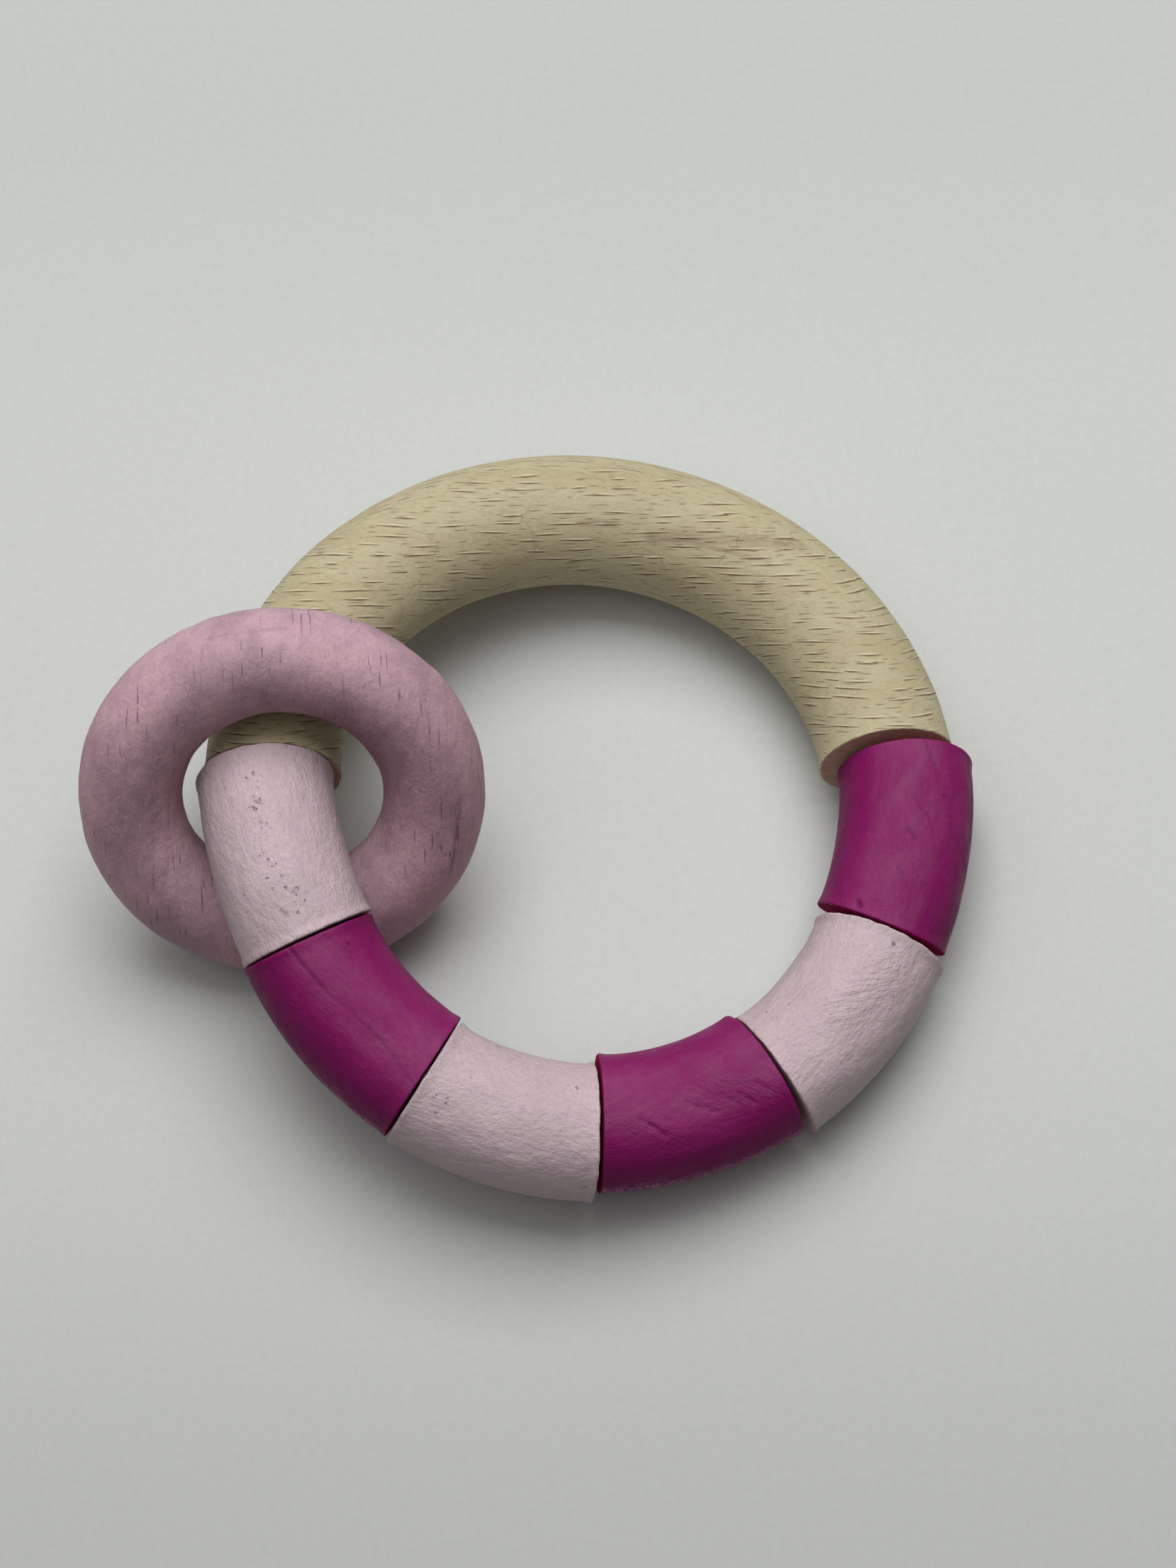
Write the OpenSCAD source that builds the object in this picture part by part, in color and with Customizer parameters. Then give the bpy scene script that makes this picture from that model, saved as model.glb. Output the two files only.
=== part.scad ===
// Wooden touch and teething ring: a beech grip and six coloured pieces threaded on an elastic
// cord, with a small ring linked round them. It lies on a table the way it was set down, so the
// pieces have rolled a little on their cord and the small ring props the left side up.
// Millimetres. +Z is up, +X is to the right and the table is at z = 0.

/* [Large ring] */
// Radius of the large ring's centre line
ring_radius = 39.5; // [38.5:0.1:40]
// Diameter of the round wood that the large ring is turned to
section_d = 17.4; // [16.6:0.1:17.5]
// Radius of the softened edges where the wood was sawn across
edge_r = 0.7; // [0.4:0.1:1.2]

/* [Beech grip] */
// Where the grip's right end is, in degrees round the large ring
grip_from = 7.3; // [7:0.1:10]
// Where the grip's left end is, in degrees round the large ring
grip_to = 180.6; // [178:0.1:181]
// How far the grip leans from flat
grip_lean = 10.5; // [10.2:0.1:10.8]
// The side that it leans towards, in degrees from +X
grip_lean_side = 43; // [41:1:45]
// Height of the large ring's centre above the table
grip_height = 15.88; // [15.8:0.01:16.4]

/* [Coloured pieces] */
// Arc of each coloured piece in degrees
piece_arc = 31.7; // [30:0.1:32]
// Diameter of the straight hole through each piece
hole_d = 5.4; // [4.8:0.1:6]

/* [Small ring] */
// Radius of the small ring's centre line
small_radius = 19.1; // [19:0.1:19.4]
// Diameter of the small ring's round section
small_section_d = 13.5; // [13.2:0.1:13.6]
// How far the small ring leans from flat
small_lean = 51; // [50.5:0.5:51.5]
// The side that it leans towards, in degrees from +X
small_lean_side = -82.7; // [-84:0.1:-81]

/* [Elastic cord] */
// Diameter of the elastic cord
cord_d = 2.2; // [1.8:0.1:2.4]
// Depth of the blind hole in each end of the grip
socket_depth = 17; // [16:0.5:18]
// Diameter of that blind hole
socket_d = 6.4; // [6.2:0.1:6.8]
// Length of the drilled plug that is glued in it
plug_length = 6; // [5:0.5:6]
// How far the plug lies below the sawn end
plug_sink = 5; // [4.5:0.5:5]

/* [Hidden] */
$fn = 64;

// Colours of the woods, the paints and the elastic
beech = [0.80, 0.75, 0.60];
pale_pink = [0.87, 0.77, 0.79];
magenta = [0.54, 0.20, 0.40];
ring_pink = [0.80, 0.66, 0.70];
elastic_white = [0.90, 0.88, 0.84];

// The middle of the large ring that the grip is part of. The origin is under the middle of the
// whole outline.
ring_centre = [6.8, 2.6, grip_height];
// The gaps between one piece and the next, from the grip's left end round the near side to its
// right end
gaps = [[-33.1, 1.5, 22.2], [-27.1, -19.6, 21.1], [-13.1, -35.4, 15.3], [8.2, -41.2, 11.2],
        [29.3, -34.4, 9.0], [43.9, -16.3, 9.2], [48.0, 7.4, 10.2]];
// How far each piece has rolled on the cord
roll = [-56, 5, 4, 6, -1, -33];
// How far each piece sits off the cord's line, outwards and upwards
off_out = [0, 0.2, 0.8, -0.3, 0.7, 0.1];
off_up = [0.5, 0, 0, 0.3, 0.1, -0.6];
// Where the middle of the small ring is
small_centre = [-30.9, -0.2, 21.6];

// Half of a piece's arc, and the straight line between the middles of its ends
half_arc = piece_arc / 2;
piece_chord = 2 * ring_radius * sin(half_arc);
// The softened edge meets the wood at a slight angle, so that it starts with a faint line, and
// the middle of its arc lies this far in
edge_meet = 10;
edge_in = edge_r * cos(edge_meet);
// Play of a glued plug in its hole and of the cord in the plug
glue_gap = 0.04;
cord_gap = 0.06;
// How far above a plug the cord starts to bend
plug_clear = 1.2;
// Radius of the cord's line where it bends from one piece's hole into the next, how much thicker
// the cord is there, and how far its straight runs reach into each bend
bend_r = 4;
bend_swell = 0.1;
bend_overlap = 0.3;
// How far the cord is pulled over from the middle of the last gap, towards the grip's hole
last_pull = [-1.3, -0.7, -0.4];
// The knot: the radius of each of its two turns, how far the second lies behind the first, how
// far each leans, and how far the first stands behind the plug
knot_r = 1.7;
knot_step = 1.4;
knot_lean = 20;
knot_stand = 2.9;
// Small overrun that makes a cut pass through a surface
past = 1;

// A direction or place in the flat ring, turned to the grip's lean
lean_axis = [-sin(grip_lean_side), cos(grip_lean_side), 0];
function leaned(v) = v * cos(grip_lean) + cross(lean_axis, v) * sin(grip_lean)
                     + lean_axis * (lean_axis * v) * (1 - cos(grip_lean));

// A point in a grip's end hole: at the given angle round the ring, and so far in from the end.
// Inwards is +1 at the right end, where the grip starts, and -1 at the left end.
function in_socket(angle, inwards, depth) = ring_centre
    + leaned([ring_radius * cos(angle) - inwards * depth * sin(angle),
              ring_radius * sin(angle) + inwards * depth * cos(angle), 0]);

// The cord's route: the knot and the mouth of one plug, the gaps, and the other plug and knot
knot_depth = plug_sink + plug_length + knot_stand;
mouth_depth = plug_sink - plug_clear;
last_gap = len(gaps) - 1;
route = concat([in_socket(grip_to, -1, knot_depth), in_socket(grip_to, -1, mouth_depth)],
               [for (i = [0:last_gap - 1]) gaps[i]],
               [gaps[last_gap] + last_pull],
               [in_socket(grip_from, 1, mouth_depth), in_socket(grip_from, 1, knot_depth)]);
last = len(route) - 1;

function unit(v) = v / norm(v);
// The direction of the cord's straight run from one point of the route to the next
function heading(i) = unit(route[i + 1] - route[i]);
// How sharply the cord turns at a point of the route, and the length of the run that this takes
function turn(i) = acos(heading(i - 1) * heading(i));
function taken(i) = i == 0 || i == last ? 0 : bend_r * tan(turn(i) / 2);

// Turns something built along +Z to point along v
module point_along(v) {
    rotate([0, acos(unit(v)[2]), atan2(v[1], v[0])]) children();
}

module lean_grip() {
    translate(ring_centre) rotate(a = grip_lean, v = lean_axis) children();
}

// Round wood bent on the large ring's radius, through the given arc
module ring_stock(arc) {
    rotate_extrude(angle = arc) translate([ring_radius, 0]) circle(d = section_d);
}

// What is sanded off the rim of a sawn end that lies in the XY plane, with the wood below it
module rim_waste() {
    rotate_extrude() translate([section_d / 2 - edge_in, -edge_in]) difference() {
        square(edge_in + past);
        circle(r = edge_r);
    }
}

// Puts children at the sawn end of ring stock: +1 is the end at the angle, facing onwards,
// and -1 is the start, facing back
module at_ring_angle(angle, facing) {
    rotate([0, 0, angle]) translate([ring_radius, 0, 0]) rotate([-90 * facing, 0, 0]) children();
}

module beech_half_ring() {
    color(beech) lean_grip() difference() {
        rotate([0, 0, grip_from]) ring_stock(grip_to - grip_from);
        for (end = [[grip_from, -1], [grip_to, 1]]) at_ring_angle(end[0], end[1]) {
            rim_waste();
            translate([0, 0, -socket_depth]) cylinder(d = socket_d, h = socket_depth + past);
        }
    }
}

// One coloured piece, its hole along X and its bulge towards -Y
module piece() {
    difference() {
        translate([0, ring_radius * cos(half_arc), 0]) rotate([0, 0, -90 - half_arc]) difference() {
            ring_stock(piece_arc);
            at_ring_angle(0, -1) rim_waste();
            at_ring_angle(piece_arc, 1) rim_waste();
        }
        translate([-piece_chord / 2 - past, 0, 0]) rotate([0, 90, 0])
            cylinder(d = hole_d, h = piece_chord + 2 * past);
    }
}

// A coloured piece in its place on the cord, counted from 0 at the grip's left end
module threaded(place) {
    run = gaps[place + 1] - gaps[place];
    translate((gaps[place] + gaps[place + 1]) / 2)
        rotate([0, -asin(unit(run)[2]), atan2(run[1], run[0])])
        translate([0, -off_out[place], off_up[place]])
        rotate([roll[place], 0, 0])
        piece();
}

module pale_segment(place) {
    color(pale_pink) threaded(place);
}

module magenta_segment(place) {
    color(magenta) threaded(place);
}

module small_ring() {
    color(ring_pink) translate(small_centre)
        rotate(a = small_lean, v = [-sin(small_lean_side), cos(small_lean_side), 0])
        rotate_extrude() translate([small_radius, 0]) circle(d = small_section_d);
}

// A straight stretch of cord, from just inside one bend to just inside the next
module cord_run(i) {
    start = taken(i) - (i == 0 ? 0 : bend_overlap);
    end = norm(route[i + 1] - route[i]) - taken(i + 1) + (i == last - 1 ? 0 : bend_overlap);
    translate(route[i] + heading(i) * start) point_along(heading(i))
        cylinder(d = cord_d, h = end - start);
}

// A round bend of the cord at a point of its route
module cord_bend(i) {
    inwards = unit(heading(i) - heading(i - 1));
    axis = unit(cross(heading(i - 1), heading(i)));
    centre = route[i] + inwards * bend_r / cos(turn(i) / 2);
    from = unit(route[i] - heading(i - 1) * taken(i) - centre);
    along = heading(i - 1);
    multmatrix([[from[0], along[0], axis[0], centre[0]],
                [from[1], along[1], axis[1], centre[1]],
                [from[2], along[2], axis[2], centre[2]]])
        rotate_extrude(angle = turn(i)) translate([bend_r, 0]) circle(d = cord_d + bend_swell);
}

// The cord's two turns round itself behind a plug, where it ends
module knot(at, heading) {
    translate(at) point_along(heading) for (side = [-1, 1])
        translate([0, 0, side * knot_step / 2]) rotate([side * knot_lean, knot_lean, 0])
        rotate_extrude() translate([knot_r, 0]) circle(d = cord_d);
}

module elastic_cord() {
    color(elastic_white) {
        for (i = [0:last - 1]) cord_run(i);
        for (i = [1:last - 1]) cord_bend(i);
        knot(route[0], -heading(0));
        knot(route[last], heading(last - 1));
    }
}

module end_plug(angle, facing) {
    color(beech) lean_grip() at_ring_angle(angle, facing)
        translate([0, 0, -plug_sink - plug_length]) difference() {
            cylinder(d = socket_d - 2 * glue_gap, h = plug_length);
            translate([0, 0, -past]) cylinder(d = cord_d + 2 * cord_gap, h = plug_length + 2 * past);
        }
}

beech_half_ring();
pale_segment(0);  // segment_1_pale
magenta_segment(1);  // segment_2_magenta
pale_segment(2);  // segment_3_pale
magenta_segment(3);  // segment_4_magenta
pale_segment(4);  // segment_5_pale
magenta_segment(5);  // segment_6_magenta
small_ring();
elastic_cord();
end_plug(grip_to, 1);  // left_end_plug
end_plug(grip_from, -1);  // right_end_plug
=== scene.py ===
"""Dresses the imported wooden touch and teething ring: its beech grip, its six painted pieces, the
small stained ring, the elastic cord, and the pale table that it lies on."""

import math

import bpy
import numpy as np
from mathutils import Matrix, Vector


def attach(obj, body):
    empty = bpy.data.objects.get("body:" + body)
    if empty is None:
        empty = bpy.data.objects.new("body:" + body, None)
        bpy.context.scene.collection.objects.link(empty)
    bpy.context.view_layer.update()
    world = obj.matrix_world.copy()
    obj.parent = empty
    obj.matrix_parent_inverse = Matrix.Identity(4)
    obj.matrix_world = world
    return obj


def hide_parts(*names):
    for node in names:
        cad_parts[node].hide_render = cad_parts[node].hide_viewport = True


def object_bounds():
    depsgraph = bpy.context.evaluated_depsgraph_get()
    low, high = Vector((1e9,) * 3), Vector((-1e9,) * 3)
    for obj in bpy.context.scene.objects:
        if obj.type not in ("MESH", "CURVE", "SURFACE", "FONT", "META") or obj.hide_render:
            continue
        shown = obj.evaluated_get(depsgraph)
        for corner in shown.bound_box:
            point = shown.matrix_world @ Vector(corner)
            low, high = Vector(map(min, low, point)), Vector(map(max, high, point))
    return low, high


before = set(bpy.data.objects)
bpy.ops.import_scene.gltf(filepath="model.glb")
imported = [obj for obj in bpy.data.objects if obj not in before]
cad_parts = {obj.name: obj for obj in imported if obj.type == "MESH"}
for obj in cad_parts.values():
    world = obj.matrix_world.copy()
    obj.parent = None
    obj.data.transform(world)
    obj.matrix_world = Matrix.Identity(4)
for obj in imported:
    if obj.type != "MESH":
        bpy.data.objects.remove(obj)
cad_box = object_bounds()

bl_info = {
    "name": "Wooden Teething Ring",
    "version": (1, 0, 0),
    "blender": (4, 5, 0),
    "location": "3D View > Sidebar > Teething Ring",
    "description": "Models a wooden touch and teething ring and the table that it lies on",
    "category": "Add Mesh",
}

MM = 0.001
# Points closer than the first, in metres, are made one, and those closer than the second touch
SAME_POINT = 1e-6
TOUCHING = 1e-5
# Steps of a softened edge, of an end hole's wall and of a group's weights, and sides of a bore
EDGE_STEPS = 6
HOLE_STEPS = 17
WEIGHT_STEPS = 20
BORE_SIDES = 96
# How large the mesh's faces are on a sawn end, and on the grip, beside a cell
END_FACE = 1.6
GRIP_FACE = 1.1
# How far in from a rim it is chipped
CHIPPED = 1.1 * MM
# Surfaces that face more sharply to each other than this keep a hard edge
HARD_EDGE = math.radians(50)
# The side that faces the light, away from which paint and stain get painted shade, and the way that
# paint faces where it gets a painted sheen
LIT_SIDE = (0.1, 0.3, 0.95)
SHEEN_SIDE = (0.05, 0.05, 0.997)
# How far each pattern of hollows lies from the one before, in metres
PATTERN_STEP = (0.37, 0.11, 0.053)
# The table's side in metres, the camera's sensor in millimetres, and how the camera is held
TABLE_SIDE = 4
SENSOR = 36
CAMERA_RIGHT = (0.9989, 0, -0.0472)
CAMERA_UP = (0.0166, 0.9359, 0.3519)
# Where the room is bright in the wood's gloss, and where its light comes from
FAR_SIDE = (0, 0.8, 0.6)
OVERHEAD = (-0.15, 0.1, 0.984)
# The gaps between the pieces on the cord, from the grip's left end round the near side to its
# right end, and how each piece has rolled and shifted on the cord, in millimetres and degrees
GAPS = ((-33.1, 1.5, 22.2), (-27.1, -19.6, 21.1), (-13.1, -35.4, 15.3), (8.2, -41.2, 11.2),
        (29.3, -34.4, 9.0), (43.9, -16.3, 9.2), (48.0, 7.4, 10.2))
ROLLS = (-56, 5, 4, 6, -1, -33)
OFF_OUT = (0, 0.2, 0.8, -0.3, 0.7, 0.1)
OFF_UP = (0.5, 0, 0, 0.3, 0.1, -0.6)
# How far each piece is stretched along the cord, which narrows the gaps
STRETCHED = (1.004, 1.005, 1.006, 1.004, 1.0, 1.0)
# The wood's own directions in each kind of piece: along its fibre, across its rays, and along them
BEECH_AXES = ((1, 0, 0), (0, 0.914, 0.407), (0, -0.407, 0.914))
PAINTED_AXES = ((1, 0, 0), (0, 1, 0), (0, 0, 1))
RING_AXES = ((0, 1, 0), (1, 0, 0), (0, 0, 1))
# How deep the small hollows are under each paint, beside a middling one
ROUGHNESS = {"pale": 1.25, "magenta": 0.45}

# Marks that years of use have left, each from one point to another in millimetres: what a
# material shows there, the two points, how wide the mark is to each side, how deep it is pressed
# in, and how plain it is
MARKS = {
    "beech_grip": (
        ("smudge", (16.0, 36.3, 17.4), (34.7, 35.2, 16.4), 1.7, 0.02, 0.7),
        ("smudge", (6.6, 37.8, 18.8), (11.0, 37.6, 18.2), 1.0, 0.02, 0.5),
        ("smudge", (23.1, 34.7, 17.3), (30.9, 32.4, 17.4), 0.8, 0.02, 0.45),
        ("pit", (-27.2, 32.2, 23.4), (-18.6, 31.0, 24.5), 0.4, 0.12, 0.7),
    ),
    "stained_ring": (
        ("pit", (-7.9, -2.3, 24.6), (-9.0, -6.0, 20.2), 0.4, 0.14, 0.75),
        ("pit", (-9.0, -6.0, 20.2), (-10.1, -9.6, 15.7), 0.4, 0.14, 0.75),
        ("pit", (-6.5, 2.0, 26.3), (-6.5, 2.1, 26.4), 0.5, 0.15, 1.0),
        ("pit", (-45.6, -3.0, 30.1), (-46.4, -6.9, 25.5), 0.4, 0.1, 0.55),
        ("pit", (-48.3, 0.5, 35.4), (-49.1, -2.8, 31.9), 0.4, 0.08, 0.45),
        ("pit", (-39.8, 12.2, 42.0), (-34.5, 12.9, 43.0), 0.35, 0.08, 0.4),
        ("pit", (-34.5, 12.9, 43.0), (-26.8, 13.6, 42.5), 0.35, 0.06, 0.3),
        ("pit", (-12.6, -4.3, 24.2), (-13.9, -8.6, 19.2), 0.35, 0.07, 0.45),
        ("pit", (-17.5, 6.1, 37.5), (-18.0, 4.1, 35.5), 0.35, 0.07, 0.5),
    ),
    "painted_piece_1": (
        ("pitted", (-33.8, -0.8, 31.6), (-32.6, -6.0, 32.0), 1.7, 0.02, 1.0),
        ("pitted", (-32.6, -6.0, 32.0), (-31.4, -9.6, 32.0), 1.4, 0.02, 0.8),
        ("pitted", (-31.4, -12.6, 31.8), (-27.0, -17.4, 31.0), 2.4, 0.02, 0.55),
        ("pit", (-29.4, -18.9, 30.7), (-28.6, -19.4, 30.6), 0.55, 0.2, 0.9),
        ("pit", (-27.9, -16.6, 31.1), (-27.6, -16.8, 31.1), 0.5, 0.16, 0.7),
    ),
    "painted_piece_2": (
        ("pit", (-28.3, -23.1, 28.9), (-24.3, -27.9, 27.6), 0.4, 0.08, 0.75),
        ("pit", (-24.3, -27.9, 27.6), (-20.8, -30.6, 26.5), 0.35, 0.05, 0.45),
        ("pit", (-20.8, -30.6, 26.5), (-16.9, -34.2, 25.1), 0.4, 0.07, 0.6),
        ("pit", (-16.9, -34.2, 25.1), (-13.8, -38.4, 23.5), 0.35, 0.05, 0.4),
    ),
    "painted_piece_3": (
        ("pitted", (-10.0, -41.0, 22.8), (-6.0, -38.6, 23.0), 2.6, 0.02, 0.25),
    ),
    "painted_piece_4": (
        ("rippled", (22.0, -37.6, 18.8), (30.0, -38.6, 17.0), 4.0, 0.02, 1.3),
        ("rippled", (13.0, -43.0, 19.3), (18.0, -44.0, 18.0), 2.6, 0.02, 1.0),
        ("pit", (14.0, -42.4, 19.2), (15.3, -43.2, 18.7), 0.5, 0.2, 0.15),
        ("pit", (15.3, -43.2, 18.7), (16.9, -44.2, 17.9), 0.45, 0.18, 0.15),
        ("pit", (19.6, -40.2, 18.8), (21.1, -40.9, 18.4), 0.45, 0.15, 0.08),
        ("pit", (21.9, -40.9, 18.2), (23.1, -41.3, 17.8), 0.45, 0.13, 0.05),
        ("pit", (23.6, -39.0, 18.3), (25.0, -39.7, 17.9), 0.45, 0.14, 0.08),
        ("pit", (26.1, -38.8, 17.8), (27.7, -40.0, 17.1), 0.45, 0.18, 0.1),
        ("pit", (28.2, -37.5, 17.7), (29.7, -38.4, 17.0), 0.5, 0.2, 0.15),
    ),
    "painted_piece_5": (
        ("rippled", (44.6, -23.0, 16.8), (39.0, -28.0, 17.8), 4.6, 0.02, 1.0),
    ),
    "painted_piece_6": (
        ("rippled", (50.0, 4.0, 16.0), (48.6, -6.0, 16.0), 4.6, 0.02, 0.5),
        ("rippled", (42.0, 3.0, 17.0), (43.0, -9.0, 17.6), 4.0, 0.02, 0.35),
        ("pit", (41.1, -14.1, 16.8), (41.3, -14.6, 16.8), 0.6, 0.25, 0.8),
        ("pit", (50.2, 7.0, 18.0), (51.1, 4.7, 17.8), 0.45, 0.08, 0.35),
        ("pit", (51.1, 4.7, 17.8), (52.0, 1.8, 17.6), 0.45, 0.07, 0.25),
        ("pit", (48.4, -0.4, 18.6), (49.5, -2.5, 18.4), 0.45, 0.08, 0.3),
        ("pit", (50.1, -3.0, 18.2), (51.0, -5.2, 17.8), 0.45, 0.07, 0.25),
        ("pit", (47.7, -5.1, 18.5), (48.5, -6.4, 18.4), 0.5, 0.15, 0.5),
        ("pit", (46.2, -9.8, 18.2), (47.4, -12.7, 17.7), 0.45, 0.07, 0.25),
    ),
}


def shade(red, green, blue):
    """A colour picked on screen, from 0 to 255, as Blender's linear numbers."""
    return tuple(
        v / 12.92 if v <= 0.04045 else ((v + 0.055) / 1.055) ** 2.4
        for v in (red / 255, green / 255, blue / 255)
    )


def length(name, description, default):
    return bpy.props.FloatProperty(
        name=name, description=description, default=default, min=0, unit="LENGTH", precision=4
    )


def turn(name, description, degrees):
    return bpy.props.FloatProperty(
        name=name, description=description, default=math.radians(degrees), subtype="ANGLE"
    )


def place(name, description, default):
    return bpy.props.FloatVectorProperty(
        name=name, description=description, default=default, subtype="TRANSLATION", unit="LENGTH"
    )


def tint(name, description, red, green, blue):
    return bpy.props.FloatVectorProperty(
        name=name, description=description, default=shade(red, green, blue), subtype="COLOR",
        min=0, max=1,
    )


class TEETHER_PG_large_ring(bpy.types.PropertyGroup):
    """Sizes of the large ring that the grip and the coloured pieces make up."""

    radius: length("Radius", "Radius of the large ring's centre line", 39.5 * MM)
    thickness: length("Thickness", "Diameter of the turned wood", 17.4 * MM)
    edge: length("Softened Edge", "Radius of the sanded edge of each sawn end", 0.22 * MM)
    grip_from: turn("Right End", "Where the grip's right end is, round the ring", 7.3)
    grip_to: turn("Left End", "Where the grip's left end is, round the ring", 180.6)
    lean: turn("Lean", "How far the grip leans from flat", 10.5)
    lean_side: turn("Lean Side", "The side that the grip leans towards", 43)
    centre: place("Centre", "Middle of the large ring", (0.0068, 0.0026, 0.01588))
    socket: length("End Hole", "Diameter of the blind hole in each end of the grip", 6.4 * MM)
    socket_depth: length("End Hole Depth", "Depth of that blind hole", 17 * MM)
    piece_length: length("Piece Length", "Length of each coloured piece along its bend", 22.0 * MM)
    piece_bend: turn("Piece Bend", "How far each coloured piece is bent", 31.9)
    bore: length("Bore", "Diameter of the hole through each coloured piece", 5.4 * MM)
    cell: length("Mesh Cell", "Size of the mesh's faces, which the wear is pressed into", 0.27 * MM)


class TEETHER_PG_small_ring(bpy.types.PropertyGroup):
    """Sizes of the small ring that is linked round the large one."""

    radius: length("Radius", "Radius of the small ring's centre line", 19.1 * MM)
    thickness: length("Thickness", "Diameter of its round section", 13.5 * MM)
    lean: turn("Lean", "How far the small ring leans from flat", 51)
    lean_side: turn("Lean Side", "The side that it leans towards", -82.7)
    centre: place("Centre", "Middle of the small ring", (-0.0309, -0.0002, 0.0216))
    cell: length("Mesh Cell", "Size of the mesh's faces, which the wear is pressed into", 0.3 * MM)


class TEETHER_PG_finishes(bpy.types.PropertyGroup):
    """Colours of the woods, the stains and the elastic."""

    beech: tint("Beech", "Bare beech, sanded and not oiled", 192, 183, 149)
    beech_warm: tint("Warm Beech", "Darker, warmer stripes in the beech", 174, 160, 122)
    beech_ray: tint("Beech Rays", "Short dark rays along the beech's fibre", 118, 94, 60)
    end_grain: tint("End Grain", "Sawn ends and drilled holes", 204, 170, 150)
    pale: tint("Pale Pink", "Paint of the pale pieces", 198, 176, 182)
    magenta: tint("Magenta", "Paint of the dark pieces", 133, 25, 95)
    ring: tint("Ring Pink", "Stain of the small ring", 204, 166, 177)
    ring_dark: tint("Ring Blotches", "Where the stain lies darker", 168, 136, 148)
    elastic: tint("Elastic", "Woven cover of the elastic cord", 226, 221, 210)


class TEETHER_PG_stage(bpy.types.PropertyGroup):
    """The table, the light and the camera."""

    floor: tint("Table", "Colour of the table", 205, 207, 204)
    surround: tint("Surround", "Colour seen past the table's edge", 200, 202, 199)
    key: bpy.props.FloatProperty(
        name="Window Light", description="Share of the light that comes from the far side",
        default=0.8, min=0, subtype="FACTOR", soft_max=2,
    )
    sky: bpy.props.FloatProperty(
        name="Room Light", description="Share of the light that comes from above and behind",
        default=0.9, min=0, subtype="FACTOR", soft_max=2,
    )
    key_size: length("Window Size", "Side of the square light", 0.9)
    key_place: place("Window Place", "Where the light hangs", (0.06, 0.5, 1.11))
    camera_place: place("Camera Place", "Where the camera stands", (0.02697, -0.15391, 0.43118))
    lens: bpy.props.FloatProperty(
        name="Lens", description="The camera's focal length in millimetres", default=80.07,
        min=1, unit="CAMERA",
    )


def alone(piece):
    """Leaves only this piece selected and active."""
    bpy.ops.object.select_all(action="DESELECT")
    piece.hide_set(False)
    piece.select_set(True)
    bpy.context.view_layer.objects.active = piece


def apply_modifier(piece, modifier):
    alone(piece)
    bpy.ops.object.modifier_apply(modifier=modifier.name)


def read(piece, what):
    """The places or the normals of the piece's points, as an array."""
    values = np.zeros(len(piece.data.vertices) * 3, np.float32)
    piece.data.vertices.foreach_get(what, values)
    return values.reshape(-1, 3).astype(float)


def put_points(piece, points):
    piece.data.vertices.foreach_set("co", points.astype(np.float32).ravel())
    piece.data.update()


def keep(piece, name, values):
    """Keeps a value at each point of the piece, for its material to read."""
    layer = piece.data.attributes.new(name, "FLOAT", "POINT")
    layer.data.foreach_set("value", values.astype(np.float32))


def turned_rod(name, long, radius, mouth, edge, cell):
    """A rod turned on a lathe along X, its rims softened, with a round mouth left open at each
    end, or none where the mouth is zero. Its outline is drawn point by point and spun round."""
    outline = []
    steps = max(3, round((radius - edge - mouth) / (END_FACE * cell)))
    for i in range(steps):
        outline.append((-long / 2, mouth + (radius - edge - mouth) * i / steps))
    for i in range(EDGE_STEPS):
        angle = math.radians(90) * i / EDGE_STEPS
        outline.append((-long / 2 + edge * (1 - math.cos(angle)),
                        radius - edge * (1 - math.sin(angle))))
    half = round((long / 2 - edge) / cell)
    outline += [(-long / 2 + edge + (long / 2 - edge) * i / half, radius) for i in range(half)]
    outline += [(0, radius)] + [(-x, r) for x, r in reversed(outline)]

    bpy.ops.mesh.primitive_plane_add(size=cell)
    rod = bpy.context.active_object
    rod.name = name
    bpy.ops.object.mode_set(mode="EDIT")
    bpy.ops.mesh.merge(type="CENTER")
    bpy.ops.transform.translate(value=(outline[0][0], 0, outline[0][1]))
    for (x0, r0), (x1, r1) in zip(outline, outline[1:]):
        bpy.ops.mesh.extrude_vertices_move(
            TRANSFORM_OT_translate={"value": (x1 - x0, 0, r1 - r0)}
        )
    bpy.ops.mesh.select_all(action="SELECT")
    bpy.ops.mesh.spin(
        steps=round(2 * math.pi * radius / cell), angle=2 * math.pi, center=(0, 0, 0),
        axis=(1, 0, 0),
    )
    bpy.ops.mesh.select_all(action="SELECT")
    bpy.ops.mesh.remove_doubles(threshold=SAME_POINT)
    bpy.ops.mesh.normals_make_consistent(inside=False)
    bpy.ops.object.mode_set(mode="OBJECT")
    return rod


def bend(rod, angle):
    """Bends a rod that lies along X round a centre on its +Y side."""
    curl = rod.modifiers.new("bend", "SIMPLE_DEFORM")
    curl.deform_method = "BEND"
    curl.deform_axis = "Z"
    curl.angle = angle
    apply_modifier(rod, curl)


def set_down(piece, where):
    """Puts a piece in its place, with the place in its mesh."""
    piece.matrix_world = where
    alone(piece)
    bpy.ops.object.transform_apply(location=True, rotation=True, scale=True)


def lean(piece, ring):
    """Leans a ring, or a part of one, as it lies on the table."""
    axis = Vector((-math.sin(ring.lean_side), math.cos(ring.lean_side), 0))
    set_down(piece, Matrix.Translation(ring.centre) @ Matrix.Rotation(ring.lean, 4, axis))


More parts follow.
